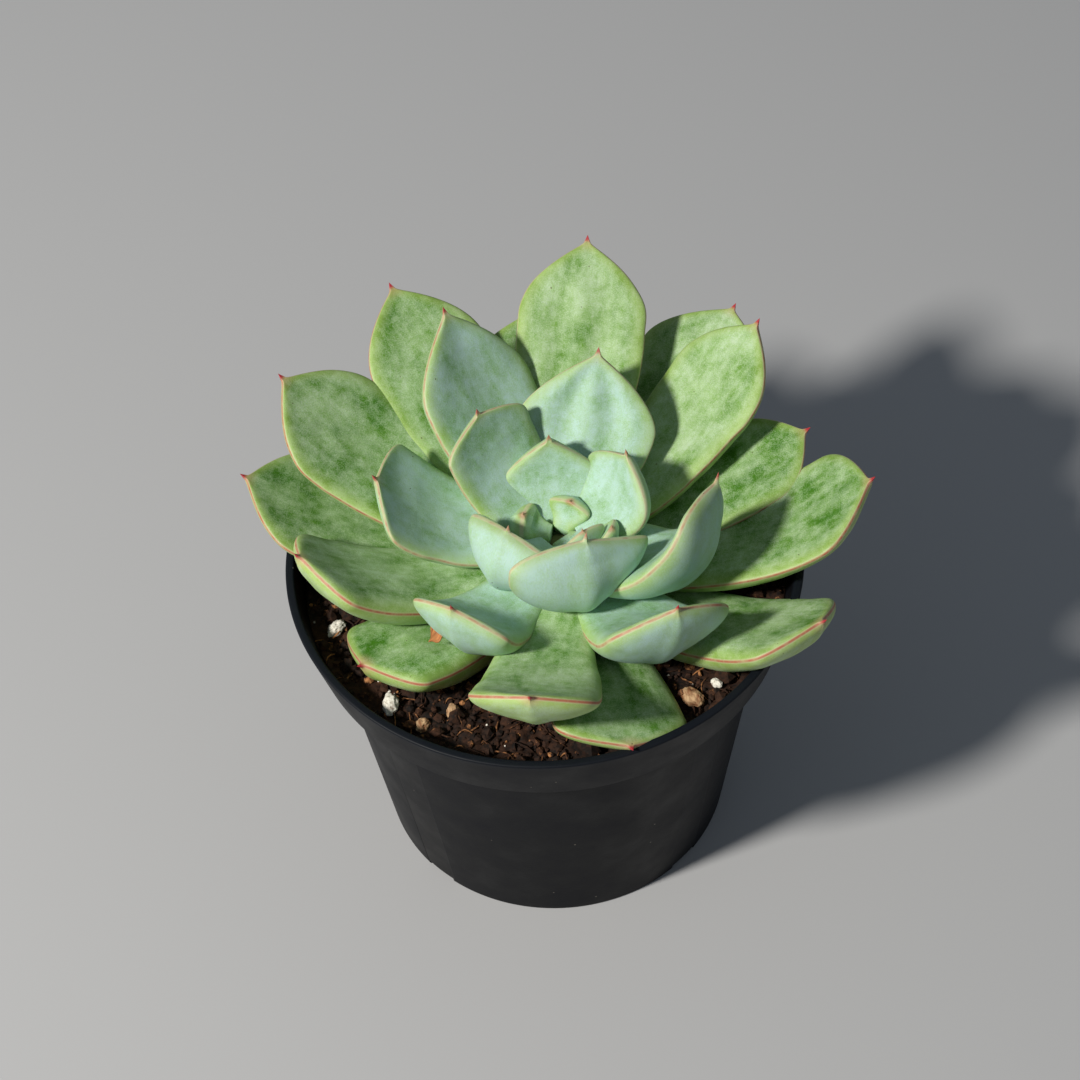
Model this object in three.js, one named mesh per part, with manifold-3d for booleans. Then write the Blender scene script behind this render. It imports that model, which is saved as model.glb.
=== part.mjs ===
// A potted echeveria: a fleshy leaf rosette on a short stem, rooted in peat mix in a round nursery pot.
// Millimetres, +Z up. The origin is the middle of the pot's underside, on the ground.
import * as THREE from 'three';
import { mergeVertices } from 'three/addons/utils/BufferGeometryUtils.js';
import Module from 'manifold-3d';

const wasm = await Module();
wasm.setup();

// Pot: a 105 mm round nursery pot with a flared collar over a tapering body.
const POT_HEIGHT = 75.6;
const RIM_RADIUS = 52.5;
const LIP_WIDTH = 1.9;
const COLLAR_FOOT = 62;
const COLLAR_FOOT_RADIUS = 49.1;
const SHOULDER_RADIUS = 45.3;
const BASE_RADIUS = 37;
const WALL = 1.3;
const FLOOR_LIFT = 2.5;
const FOOT_RING_WIDTH = 3.5;
const BOSS_RADIUS = 12;
const DRAIN_HOLES = 8;
const DRAIN_RADIUS = 3;
const DRAIN_CIRCLE = 23;
const FOOT_NOTCHES = 4;
const NOTCH_WIDTH = 7;
const POT_SIDES = 40;

// Peat mix, filled to about 8 mm below the rim.
const SOIL_LEVEL = 68;
const SOIL_ROUGHNESS = 0.9;
const SOIL_RINGS = 7;
const SOIL_SECTORS = 26;

// Clear space kept between neighbouring pieces.
const GAP = 0.3;

// Plant: its axis stands a little to one side of the pot's.
const STEM_X = 3;
const STEM_Y = 0;
const STEM_RADIUS = 3.4;
const STEM_BURIED = 9;
const STEM_RISE = 11;
const LEAF_FOOT = 2.5;
const LEAF_STEP = 0.6;
const HIGHEST_FOOT = 13;
const SPINE_LENGTH = 1.4;
const SPINE_RADIUS = 0.6;
const LEAF_SIDES = 10;
const LEAF_ROWS = 9;
const OUTER_LEAVES = 14;
const SMALLEST_DETAIL = 0.05;

// Leaves from the oldest, lowest one to the heart. Azimuth turns from +X, reach is the tip's distance from
// the plant's axis and rise its height over the mix. Roll tips the blade about its midrib, bow bends it
// upwards and sweep sideways, and widest says how far along the blade its greatest width comes. A swollen
// leaf has no trough: its upper face bulges between broad round edges.
const SWOLLEN = { cup: 0, brow: 3 };
const LEAVES = [
  { azimuth: 283, reach: 52, rise: 9, width: 27, thick: 9, bow: 0.05, roll: -15, widest: 0.84, ...SWOLLEN },
  { azimuth: 93, reach: 59, rise: 18, width: 27, thick: 8, bow: 0.06 },
  { azimuth: 213, reach: 49, rise: 9, width: 26, thick: 12, bow: 0.08, roll: 16, widest: 0.84, ...SWOLLEN },
  { azimuth: 22, reach: 57, rise: 17, width: 22, thick: 6, bow: 0.06 },
  { azimuth: 53, reach: 67, rise: 21, width: 30, thick: 8, bow: 0.08, roll: -8 },
  { azimuth: 329, reach: 59, rise: 20, width: 25, thick: 10, bow: 0.18, roll: -18, widest: 0.85, ...SWOLLEN },
  { azimuth: 165, reach: 66, rise: 18, width: 29, thick: 7, bow: 0.12, roll: 8 },
  { azimuth: 119, reach: 66, rise: 29, width: 27, thick: 8, bow: 0.08, widest: 0.72 },
  { azimuth: 81, reach: 64, rise: 34, width: 27, thick: 8, bow: 0.08, widest: 0.74 },
  { azimuth: 359, reach: 63, rise: 27, width: 28, thick: 8, bow: 0.16, roll: -8, widest: 0.82 },
  { azimuth: 149, reach: 64, rise: 30, width: 28, thick: 8, bow: 0.12, widest: 0.75 },
  { azimuth: 192, reach: 53, rise: 26, width: 25, thick: 10, bow: 0.18, roll: 17, widest: 0.84, ...SWOLLEN },
  { azimuth: 42, reach: 59, rise: 31, width: 25, thick: 8, bow: 0.12, roll: -12, widest: 0.75 },
  { azimuth: 262, reach: 53, rise: 31, width: 25, thick: 9, bow: 0.2, widest: 0.84, blunt: 2.6, ...SWOLLEN },
  { azimuth: 304, reach: 39, rise: 30, width: 26, thick: 9, bow: 0.28, roll: -15, widest: 0.82, ...SWOLLEN },
  { azimuth: 232, reach: 35, rise: 28, width: 22, thick: 8, bow: 0.28, roll: 5, widest: 0.84, ...SWOLLEN },
  { azimuth: 116, reach: 47, rise: 37, width: 28, thick: 8, bow: 0.12, roll: 20, widest: 0.64, blunt: 1.9 },
  { azimuth: 169, reach: 37, rise: 27, width: 28, thick: 6, bow: 0.18, roll: 10, widest: 0.84, blunt: 2.6 },
  { azimuth: 72, reach: 34, rise: 33, width: 28, thick: 7, bow: 0.15, roll: 6, widest: 0.6, blunt: 1.8 },
  { azimuth: 357, reach: 32, rise: 32, width: 24, thick: 8, bow: 0.18, roll: -35, sweep: -0.28, neck: 0.8 },
  { azimuth: 130, reach: 23, rise: 33, width: 22, thick: 6, bow: 0.16, roll: 4, blunt: 2.6, neck: 0.8 },
  { azimuth: 291, reach: 15, rise: 31, width: 30, thick: 9, bow: 0.26, sweep: -0.1 },
  { azimuth: 222, reach: 13, rise: 28, width: 21, thick: 9, bow: 0.22, roll: 6 },
  { azimuth: 27, reach: 16, rise: 30, width: 21, thick: 6, bow: 0.18, sweep: -0.06, widest: 0.6 },
  { azimuth: 93, reach: 14, rise: 28, width: 21, thick: 6, bow: 0.18, widest: 0.45, blunt: 1.6, neck: 0.7 },
  { azimuth: 333, reach: 12, rise: 22, width: 8, thick: 4, bow: 0.2, root: 2, spine: 0.6 },
  { azimuth: 306, reach: 8, rise: 23, width: 11, thick: 4, bow: 0.25, root: 1.5, spine: 0.6 },
  { azimuth: 165, reach: 7, rise: 19, width: 9, thick: 6, bow: 0.25, root: 1.5, spine: 0.6 },
  { azimuth: 58, reach: 5, rise: 19, width: 9, thick: 5, bow: 0.25, root: 1.5, spine: 0.6 },
];

// Loose things on the mix: azimuth and distance from the pot's axis, then three half-widths.
const PERLITE_GRAINS = [
  { azimuth: 194, distance: 44, size: [2.3, 1.4, 1.2] },
  { azimuth: 224, distance: 44.5, size: [2.3, 1.5, 1.4] },
  { azimuth: 317, distance: 44.5, size: [1.2, 0.9, 0.8] },
];
const BARK_CHIPS = [
  { azimuth: 234, distance: 44, size: [1.7, 1.4, 1.2] },
  { azimuth: 239, distance: 38.4, size: [1.6, 1.2, 1.2] },
  { azimuth: 310, distance: 43, size: [2.4, 1.8, 1.5] },
];

// A shrivelled scrap of an old leaf, caught between three living ones. It is described as the leaves are.
const DRIED_LEAF = {
  azimuth: 222,
  root: 26,
  reach: 36,
  foot: 11,
  rise: 12,
  width: 3,
  thick: 1.6,
  bow: -0.1,
  spine: 0.6,
};

const PAINTS = {
  plastic: new THREE.MeshStandardMaterial({ color: '#1d1e21', roughness: 0.55, metalness: 0 }),
  peat: new THREE.MeshStandardMaterial({ color: '#2b1d15', roughness: 0.95, metalness: 0 }),
  stem: new THREE.MeshStandardMaterial({ color: '#7d8a55', roughness: 0.7, metalness: 0 }),
  outerLeaf: new THREE.MeshStandardMaterial({ color: '#7fa05a', roughness: 0.6, metalness: 0 }),
  innerLeaf: new THREE.MeshStandardMaterial({ color: '#a3c0a2', roughness: 0.65, metalness: 0 }),
  perlite: new THREE.MeshStandardMaterial({ color: '#dcd9d0', roughness: 0.9, metalness: 0 }),
  bark: new THREE.MeshStandardMaterial({ color: '#8d6a48', roughness: 0.85, metalness: 0 }),
  driedLeaf: new THREE.MeshStandardMaterial({ color: '#a8683a', roughness: 0.8, metalness: 0 }),
};

function clamp(value) {
  return Math.min(1, Math.max(0, value));
}

function smooth(value) {
  const x = clamp(value);
  return x * x * (3 - 2 * x);
}

function degrees(angle) {
  return (angle * Math.PI) / 180;
}

// A closed three.js geometry as a solid: shared corners merged, triangles without area left out.
function toSolid(geometry) {
  const bare = geometry.clone();
  bare.deleteAttribute('normal');
  bare.deleteAttribute('uv');
  const merged = mergeVertices(bare, 1e-4);
  const corners = Array.from(merged.index.array);
  const kept = [];
  for (let i = 0; i < corners.length; i += 3) {
    const [a, b, c] = corners.slice(i, i + 3);
    if (a !== b && b !== c && a !== c) {
      kept.push(a, b, c);
    }
  }
  const mesh = new wasm.Mesh({
    numProp: 3,
    vertProperties: new Float32Array(merged.attributes.position.array),
    triVerts: new Uint32Array(kept),
  });
  return new wasm.Manifold(mesh);
}

function toGeometry(solid) {
  const mesh = solid.getMesh();
  const geometry = new THREE.BufferGeometry();
  geometry.setAttribute('position', new THREE.BufferAttribute(new Float32Array(mesh.vertProperties), 3));
  geometry.setIndex(new THREE.BufferAttribute(new Uint32Array(mesh.triVerts), 1));
  geometry.computeVertexNormals();
  return geometry;
}

function largestPiece(solid) {
  const pieces = solid.decompose();
  return pieces.reduce((best, piece) => (piece.volume() > best.volume() ? piece : best));
}

// Half the blade's width along its length: a waisted foot, then a broad shoulder, then the fall to the tip.
function bladeHalfWidth(leaf, along, spineStart) {
  const place = clamp(along / spineStart);
  const rising = leaf.neck + (1 - leaf.neck) * Math.sin((Math.PI / 2) * clamp(place / leaf.widest)) ** 1.5;
  const falling = 1 - clamp((place - leaf.widest) / (1 - leaf.widest)) ** leaf.blunt;
  return (leaf.width / 2) * (place < leaf.widest ? rising : falling);
}

function bladeThickness(leaf, along, spineStart) {
  const place = clamp(along / spineStart);
  const body = 0.72 + 0.28 * Math.sin(Math.PI * clamp(place / 0.9));
  const closing = Math.sqrt(Math.max(0, 1 - clamp((place - 0.62) / 0.38) ** 2.2));
  return leaf.thick * body * closing;
}

function spineHalfWidth(leaf, along, spineStart) {
  const taper = Math.min(1.3, Math.max(0, (1 - along) / (1 - spineStart)));
  const radius = SPINE_RADIUS * Math.min(1, leaf.spine / SPINE_LENGTH);
  return radius * taper * smooth((along - spineStart + 0.06) / 0.06);
}

// The midrib is a quadratic curve from the stem to the tip; the frame along it gives across and outward.
function midrib(leaf) {
  const turn = degrees(leaf.azimuth);
  const outward = new THREE.Vector3(Math.cos(turn), Math.sin(turn), 0);
  const sideways = new THREE.Vector3(-Math.sin(turn), Math.cos(turn), 0);
  const axis = new THREE.Vector3(STEM_X, STEM_Y, SOIL_LEVEL);
  const foot = axis.clone().addScaledVector(outward, leaf.root);
  foot.z += leaf.foot;
  const tip = axis.clone().addScaledVector(outward, leaf.reach);
  tip.z += leaf.rise;
  const chord = tip.clone().sub(foot);
  const length = chord.length();
  const lifted = new THREE.Vector3().crossVectors(chord, sideways).normalize();
  const middle = foot.clone().addScaledVector(chord, 0.5);
  middle.addScaledVector(lifted, -2 * leaf.bow * length);
  middle.addScaledVector(sideways, 2 * leaf.sweep * length);
  return { curve: new THREE.QuadraticBezierCurve3(foot, middle, tip), sideways, length };
}

function frameAt(rib, leaf, along) {
  const tangent = rib.curve.getTangent(along);
  const across = rib.sideways.clone().addScaledVector(tangent, -tangent.dot(rib.sideways)).normalize();
  const upper = new THREE.Vector3().crossVectors(tangent, across);
  const roll = degrees(leaf.roll) * smooth(along / 0.6);
  const rolledAcross = across.clone().multiplyScalar(Math.cos(roll)).addScaledVector(upper, Math.sin(roll));
  const rolledUpper = upper.clone().multiplyScalar(Math.cos(roll)).addScaledVector(across, -Math.sin(roll));
  return { across: rolledAcross, upper: rolledUpper };
}

// A leaf is a globe grid laid over the blade: its poles are the foot and the tip, its rings the sections.
// Across each section the upper face is a shallow cup that turns over a rounded brow into the margin, and
// the lower face is a deep round keel. `grow` swells the whole leaf.
function leafGeometry(leaf, grow) {
  const rib = midrib(leaf);
  const spineStart = 1 - leaf.spine / rib.length;
  const geometry = new THREE.SphereGeometry(1, LEAF_SIDES, LEAF_ROWS);
  const position = geometry.attributes.position;
  const uv = geometry.attributes.uv;
  for (let i = 0; i < position.count; i += 1) {
    const row = Math.round((1 - uv.getY(i)) * LEAF_ROWS);
    const along = row < 2 ? 0 : 1 - (1 - (row - 1) / (LEAF_ROWS - 1)) ** 1.25;
    const point = rib.curve.getPoint(along);
    const frame = frameAt(rib, leaf, along);
    const tangent = rib.curve.getTangent(along);
    const spine = spineHalfWidth(leaf, along, spineStart);
    const half = Math.cbrt(bladeHalfWidth(leaf, along, spineStart) ** 3 + spine ** 3) + grow;
    const thick = Math.cbrt(bladeThickness(leaf, along, spineStart) ** 3 + (1.5 * spine) ** 3) + 2 * grow;
    const place = clamp(along / spineStart);
    if (row > 0 && row < LEAF_ROWS) {
      const angle = -2 * Math.PI * uv.getX(i);
      const share = Math.cos(angle);
      const cupped = leaf.cup * half * Math.abs(share) ** 2.2 * smooth(place * 1.5);
      const brow = Math.min(leaf.brow, 0.3 * thick) * Math.sqrt(Math.max(0, 1 - share ** 6));
      const ridge = 1 + 0.12 * Math.exp(-((share / 0.18) ** 2));
      const keel = (thick - brow) * ridge * Math.max(0, 1 - share * share) ** 0.62;
      const height = (Math.sin(angle) > 0 ? cupped + brow : cupped - keel) + grow;
      point.addScaledVector(frame.across, half * share).addScaledVector(frame.upper, height);
    } else if (row === 0) {
      point.addScaledVector(frame.upper, -0.4 * thick);
    }
    if (row < 2) {
      point.addScaledVector(tangent, -grow);
    } else if (row === LEAF_ROWS) {
      point.addScaledVector(tangent, 2 * grow);
    }
    position.setXYZ(i, point.x, point.y, point.z);
  }
  return geometry;
}

function leafSolid(leaf, grow) {
  return toSolid(leafGeometry(leaf, grow));
}

// The pot's whole outline as [radius, height]: from the middle of the underside out and up to the rim, then
// down the inside to the middle of the floor.
function potOutline() {
  const collarLean = (RIM_RADIUS - COLLAR_FOOT_RADIUS) / (POT_HEIGHT - COLLAR_FOOT);
  const innerRim = RIM_RADIUS - LIP_WIDTH;
  const stepRadius = COLLAR_FOOT_RADIUS - WALL;
  const shoulderInside = SHOULDER_RADIUS - WALL;
  return [
    [0, 0],
    [BOSS_RADIUS, 0],
    [BOSS_RADIUS + 0.6, FLOOR_LIFT],
    [BASE_RADIUS - FOOT_RING_WIDTH - 0.5, FLOOR_LIFT],
    [BASE_RADIUS - FOOT_RING_WIDTH, 0],
    [BASE_RADIUS - 0.4, 0],
    [BASE_RADIUS, 0.5],
    [SHOULDER_RADIUS, COLLAR_FOOT + 0.2],
    [COLLAR_FOOT_RADIUS, COLLAR_FOOT],
    [RIM_RADIUS - 0.8 * collarLean, POT_HEIGHT - 0.8],
    [RIM_RADIUS, POT_HEIGHT - 0.4],
    [RIM_RADIUS - 0.4, POT_HEIGHT],
    [innerRim + 0.4, POT_HEIGHT],
    [innerRim, POT_HEIGHT - 0.4],
    [stepRadius, COLLAR_FOOT + WALL],
    [shoulderInside, COLLAR_FOOT + WALL - 0.6],
    [BASE_RADIUS - WALL, FLOOR_LIFT + WALL],
    [BOSS_RADIUS - 0.8, FLOOR_LIFT + WALL],
    [BOSS_RADIUS - 1.4, WALL],
    [0, WALL],
  ];
}

// The pot's collar and lip with their clear space, as a closed ring that the leaves are cut by.
function rimRingOutline() {
  const foot = [COLLAR_FOOT_RADIUS - WALL - 2 * GAP, COLLAR_FOOT];
  return [
    foot,
    [COLLAR_FOOT_RADIUS + 2 * GAP, COLLAR_FOOT],
    [RIM_RADIUS + GAP, POT_HEIGHT - 0.4],
    [RIM_RADIUS, POT_HEIGHT + GAP],
    [RIM_RADIUS - LIP_WIDTH, POT_HEIGHT + GAP],
    [RIM_RADIUS - LIP_WIDTH - GAP, POT_HEIGHT - 0.4],
    foot,
  ];
}

// LatheGeometry turns about Y, so the outline is stood up on Z afterwards.
function turned(outline, sides) {
  const points = outline.map(([radius, height]) => new THREE.Vector2(radius, height));
  const geometry = new THREE.LatheGeometry(points, sides);
  geometry.rotateX(Math.PI / 2);
  return geometry;
}

function drainHole(index) {
  const turn = (2 * Math.PI * (index + 0.5)) / DRAIN_HOLES;
  const geometry = new THREE.CylinderGeometry(DRAIN_RADIUS, DRAIN_RADIUS, 4 * FLOOR_LIFT, 8);
  geometry.rotateX(Math.PI / 2);
  geometry.translate(DRAIN_CIRCLE * Math.cos(turn), DRAIN_CIRCLE * Math.sin(turn), FLOOR_LIFT);
  return toSolid(geometry);
}

function footNotch(index) {
  const turn = (2 * Math.PI * (index + 0.5)) / FOOT_NOTCHES;
  const geometry = new THREE.BoxGeometry(3 * FOOT_RING_WIDTH, NOTCH_WIDTH, 2 * (FLOOR_LIFT - 1));
  geometry.translate(BASE_RADIUS - 0.5 * FOOT_RING_WIDTH, 0, 0);
  geometry.rotateZ(turn);
  return toSolid(geometry);
}

function potSolid() {
  let pot = toSolid(turned(potOutline(), POT_SIDES));
  for (let i = 0; i < DRAIN_HOLES; i += 1) {
    pot = pot.subtract(drainHole(i));
  }
  for (let i = 0; i < FOOT_NOTCHES; i += 1) {
    pot = pot.subtract(footNotch(i));
  }
  return pot;
}

// The rough top of the mix, as a height over the ground.
function soilHeight(x, y) {
  const broad = 0.6 * Math.sin(0.16 * x + 1.3) * Math.cos(0.19 * y - 0.4);
  const fine = 0.4 * Math.sin(0.53 * x - 0.31 * y) * Math.cos(0.47 * y + 0.22 * x + 0.8);
  return SOIL_LEVEL + SOIL_ROUGHNESS * (broad + fine);
}

// The pot's bore, filled: the lathe's top rings are lifted and sunk to make the rough surface. `grow` lifts
// the surface and carries it out to the pot's wall.
function soilSolid(grow) {
  const collarInside = COLLAR_FOOT_RADIUS - WALL;
  const collarLean = (RIM_RADIUS - LIP_WIDTH - collarInside) / (POT_HEIGHT - COLLAR_FOOT - WALL);
  const edge = collarInside + collarLean * (SOIL_LEVEL - COLLAR_FOOT - WALL) - 1.5 * GAP + 2 * grow;
  const outline = [
    [0, WALL + GAP],
    [BOSS_RADIUS - 1.4 - GAP, WALL + GAP],
    [BOSS_RADIUS - 0.8 - GAP, FLOOR_LIFT + WALL + GAP],
    [BASE_RADIUS - WALL - 1.5 * GAP, FLOOR_LIFT + WALL + GAP],
    [SHOULDER_RADIUS - WALL - 1.5 * GAP, COLLAR_FOOT + WALL - 0.6],
    [COLLAR_FOOT_RADIUS - WALL - 3 * GAP, COLLAR_FOOT + WALL + GAP],
  ];
  for (let ring = SOIL_RINGS; ring > 0; ring -= 1) {
    outline.push([(edge * ring) / SOIL_RINGS, SOIL_LEVEL]);
  }
  outline.push([0, SOIL_LEVEL]);
  const geometry = turned(outline, SOIL_SECTORS);
  const position = geometry.attributes.position;
  for (let i = 0; i < position.count; i += 1) {
    if (Math.abs(position.getZ(i) - SOIL_LEVEL) < 0.01) {
      position.setZ(i, soilHeight(position.getX(i), position.getY(i)) + grow);
    }
  }
  return toSolid(geometry);
}

function stemSolid(grow) {
  const top = SOIL_LEVEL + STEM_RISE + grow;
  const outline = [
    [0, SOIL_LEVEL - STEM_BURIED - grow],
    [0.8 * STEM_RADIUS + grow, SOIL_LEVEL - STEM_BURIED - grow],
    [STEM_RADIUS + grow, SOIL_LEVEL],
    [STEM_RADIUS + grow, top - 4],
    [0.6 * STEM_RADIUS + grow, top - 1],
    [0, top],
  ];
  const geometry = turned(outline, 16);
  geometry.translate(STEM_X, STEM_Y, 0);
  return toSolid(geometry);
}

// A rough pebble: a ball drawn out on three axes and dented by a smooth wave.
function pebbleSolid({ azimuth, distance, size }, index) {
  const turn = degrees(azimuth);
  const x = distance * Math.cos(turn);
  const y = distance * Math.sin(turn);
  const geometry = new THREE.IcosahedronGeometry(1, 1);
  const position = geometry.attributes.position;
  for (let i = 0; i < position.count; i += 1) {
    const dent = 1 + 0.14 * Math.sin(3.1 * position.getX(i) + 2.3 * position.getZ(i) + index);
    position.setXYZ(
      i,
      position.getX(i) * size[0] * dent,
      position.getY(i) * size[1] * dent,
      position.getZ(i) * size[2] * dent,
    );
  }
  geometry.rotateZ(degrees(47 * (index + 1)));
  geometry.translate(x, y, soilHeight(x, y) + 0.6 * size[2]);
  return toSolid(geometry);
}

const ORDINARY_LEAF = {
  roll: 0,
  sweep: 0,
  cup: 0.08,
  brow: 1.5,
  blunt: 2.2,
  neck: 0.5,
  widest: 0.78,
  root: 4,
  spine: SPINE_LENGTH,
};

function completeLeaf(leaf, index) {
  const foot = Math.min(HIGHEST_FOOT, LEAF_FOOT + LEAF_STEP * index);
  return { ...ORDINARY_LEAF, foot, ...leaf };
}

const plant = new THREE.Group();

function addPiece(name, solid, paint) {
  const mesh = new THREE.Mesh(toGeometry(solid), paint);
  mesh.name = name;
  plant.add(mesh);
}

const pot = potSolid();
const stem = stemSolid(0);
const stemAndSpace = stemSolid(GAP);
const soil = soilSolid(0).subtract(stemAndSpace);
const soilAndSpace = soilSolid(GAP);
const potAndSpace = toSolid(turned(rimRingOutline(), POT_SIDES));

addPiece('pot', pot, PAINTS.plastic);
addPiece('soil', largestPiece(soil), PAINTS.peat);
addPiece('stem', stem, PAINTS.stem);

// Each leaf gives way to the younger leaves above it, and to the stem, the mix and the rim.
const leaves = LEAVES.map(completeLeaf);
const swollenLeaves = leaves.map((leaf) => leafSolid(leaf, GAP));
leaves.forEach((leaf, index) => {
  let solid = leafSolid(leaf, 0).subtract(stemAndSpace).subtract(soilAndSpace).subtract(potAndSpace);
  for (const younger of swollenLeaves.slice(index + 1)) {
    solid = solid.subtract(younger);
  }
  const name = `leaf_${String(index + 1).padStart(2, '0')}`;
  const whole = largestPiece(solid.simplify(SMALLEST_DETAIL));
  addPiece(name, whole, index < OUTER_LEAVES ? PAINTS.outerLeaf : PAINTS.innerLeaf);
});

// What lies loose gives way to everything that grows or holds it.
function addLoosePiece(name, piece, paint) {
  let solid = piece.subtract(soilAndSpace).subtract(potAndSpace).subtract(stemAndSpace);
  for (const leaf of swollenLeaves) {
    solid = solid.subtract(leaf);
  }
  addPiece(name, largestPiece(solid.simplify(SMALLEST_DETAIL)), paint);
}

PERLITE_GRAINS.forEach((grain, index) => {
  addLoosePiece(`perlite_${index + 1}`, pebbleSolid(grain, index), PAINTS.perlite);
});
BARK_CHIPS.forEach((chip, index) => {
  addLoosePiece(`bark_chip_${index + 1}`, pebbleSolid(chip, index), PAINTS.bark);
});
addLoosePiece('dried_leaf', leafSolid(completeLeaf(DRIED_LEAF, 0), 0), PAINTS.driedLeaf);

export default plant;
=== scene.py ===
"""A potted echeveria: 29 fleshy leaves on a short stem, in peat mix, in a round black nursery pot.

Shapes are worked out in millimetres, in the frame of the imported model: the pot's axis is Z, the ground is
z = 0, and +Y points away from the camera. A mesh is made in metres by the one function that makes meshes.
"""

import bmesh
import bpy
import numpy as np
from mathutils import Matrix, Vector


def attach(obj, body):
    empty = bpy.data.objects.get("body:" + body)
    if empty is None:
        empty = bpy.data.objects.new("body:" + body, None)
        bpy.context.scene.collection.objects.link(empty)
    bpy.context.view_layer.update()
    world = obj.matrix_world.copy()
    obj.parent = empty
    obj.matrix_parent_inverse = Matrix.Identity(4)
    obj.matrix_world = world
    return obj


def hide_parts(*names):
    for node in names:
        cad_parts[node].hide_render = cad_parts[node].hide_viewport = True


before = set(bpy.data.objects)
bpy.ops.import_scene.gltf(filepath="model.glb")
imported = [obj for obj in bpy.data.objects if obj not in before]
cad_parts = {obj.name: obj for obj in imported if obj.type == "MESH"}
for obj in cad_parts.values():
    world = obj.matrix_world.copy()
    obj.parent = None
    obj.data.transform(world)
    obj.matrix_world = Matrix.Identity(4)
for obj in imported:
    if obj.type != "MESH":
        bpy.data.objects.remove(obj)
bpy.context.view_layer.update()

MM = 0.001

# ---------------------------------------------------------------------------------------------------------
# Camera: a 100 mm lens held about 60 cm from the rosette, looking down on it from the front, and tilted
# slightly.
CAMERA_TARGET = Vector((-0.7, 0, 80)) * MM
CAMERA_DISTANCE = 603 * MM
CAMERA_ELEVATION = np.radians(51)
CAMERA_ROLL = np.radians(-3.4)

towards_camera = Vector((0, -np.cos(CAMERA_ELEVATION), np.sin(CAMERA_ELEVATION)))
level_right = Vector((1, 0, 0))
level_up = Vector((0, np.sin(CAMERA_ELEVATION), np.cos(CAMERA_ELEVATION)))
camera_right = np.cos(CAMERA_ROLL) * level_right + np.sin(CAMERA_ROLL) * level_up
camera_up = -np.sin(CAMERA_ROLL) * level_right + np.cos(CAMERA_ROLL) * level_up
lens = bpy.data.cameras.new("camera")
lens.lens = 100
lens.sensor_width = 36
lens.clip_start = 0.05
camera = bpy.data.objects.new("camera", lens)
axes = Matrix((camera_right, camera_up, towards_camera)).transposed().to_4x4()
camera.matrix_world = Matrix.Translation(CAMERA_TARGET + towards_camera * CAMERA_DISTANCE) @ axes
bpy.context.scene.collection.objects.link(camera)
bpy.context.scene.camera = camera


# ---------------------------------------------------------------------------------------------------------
# Pot: one thin-walled moulding of black polypropylene, with a rolled lip, a flared collar that steps in to a
# tapering body, eight drain holes in a raised floor, and a foot ring with four notches.
POT_HEIGHT = 75.6
RIM_RADIUS = 52.5
LIP_WIDTH = 1.9
COLLAR_FOOT = 62
COLLAR_FOOT_RADIUS = 49.1
SHOULDER_RADIUS = 45.3
BASE_RADIUS = 37
WALL = 1.3
FLOOR_LIFT = 2.5
FOOT_RING_WIDTH = 3.5
BOSS_RADIUS = 12
DRAIN_HOLES = 8
DRAIN_RADIUS = 3
DRAIN_CIRCLE = 23
FOOT_NOTCHES = 4
NOTCH_WIDTH = 7
POT_SIDES = 288
EDGE_ROUNDING = 0.45
OUT_OF_ROUND = 0.0018


def linear(code):
    """An sRGB hex colour as linear red, green, blue and full alpha."""
    shares = np.array([int(code[i : i + 2], 16) for i in (1, 3, 5)]) / 255
    parts = np.where(shares <= 0.04045, shares / 12.92, ((shares + 0.055) / 1.055) ** 2.4)
    return (*parts, 1.0)


def new_material(name):
    """An empty node material; its surface is the Principled shader, which is returned with the tree."""
    material = bpy.data.materials.new(name)
    material.use_nodes = True
    tree = material.node_tree
    return material, tree, tree.nodes["Principled BSDF"]


def add(tree, kind, settings, inputs, output=0):
    """Adds a node and returns one output. Inputs take a value or another node's output."""
    node = tree.nodes.new(kind)
    for name, value in settings.items():
        setattr(node, name, value)
    for key, value in inputs.items():
        if isinstance(value, bpy.types.NodeSocket):
            tree.links.new(value, node.inputs[key])
        else:
            node.inputs[key].default_value = value
    return node.outputs[output]


def grid_faces(rings, sides):
    """The quads of a tube of `rings` rings of `sides` points, then a fan to a pole at each end.

    Point order: ring after ring, then the first pole and the last pole.
    """
    ring, side = np.meshgrid(np.arange(rings - 1), np.arange(sides), indexing="ij")
    after = (side + 1) % sides
    quads = np.stack([ring * sides + side, ring * sides + after, (ring + 1) * sides + after,
                      (ring + 1) * sides + side], -1).reshape(-1, 4)
    here = np.arange(sides)
    following = (here + 1) % sides
    first_pole = np.full(sides, rings * sides)
    first = np.stack([first_pole, following, here], -1)
    last_ring = (rings - 1) * sides
    last = np.stack([first_pole + 1, last_ring + here, last_ring + following], -1)
    return quads, np.concatenate([first, last])


def mesh_piece(name, points, quads, triangles, material, nodes=(), smooth=True):
    """Makes a mesh from points in millimetres and hands it to the frame.

    It rides on the body and may replace CAD nodes.
    """
    mesh = bpy.data.meshes.new(name)
    corners = np.concatenate([np.asarray(quads, np.int32).ravel(), np.asarray(triangles, np.int32).ravel()])
    sizes = np.concatenate([np.full(len(quads), 4), np.full(len(triangles), 3)])
    mesh.vertices.add(len(points))
    mesh.vertices.foreach_set("co", (np.asarray(points) * MM).astype(np.float32).ravel())
    mesh.loops.add(len(corners))
    mesh.loops.foreach_set("vertex_index", corners)
    mesh.polygons.add(len(sizes))
    mesh.polygons.foreach_set("loop_start", np.concatenate([[0], np.cumsum(sizes)[:-1]]).astype(np.int32))
    mesh.polygons.foreach_set("use_smooth", np.full(len(sizes), smooth))
    mesh.update(calc_edges=True)
    mesh.validate()
    mesh.materials.append(material)
    piece = bpy.data.objects.new(name, mesh)
    bpy.context.scene.collection.objects.link(piece)
    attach(piece, "root")
    if nodes:
        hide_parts(*nodes)
    return piece


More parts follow.
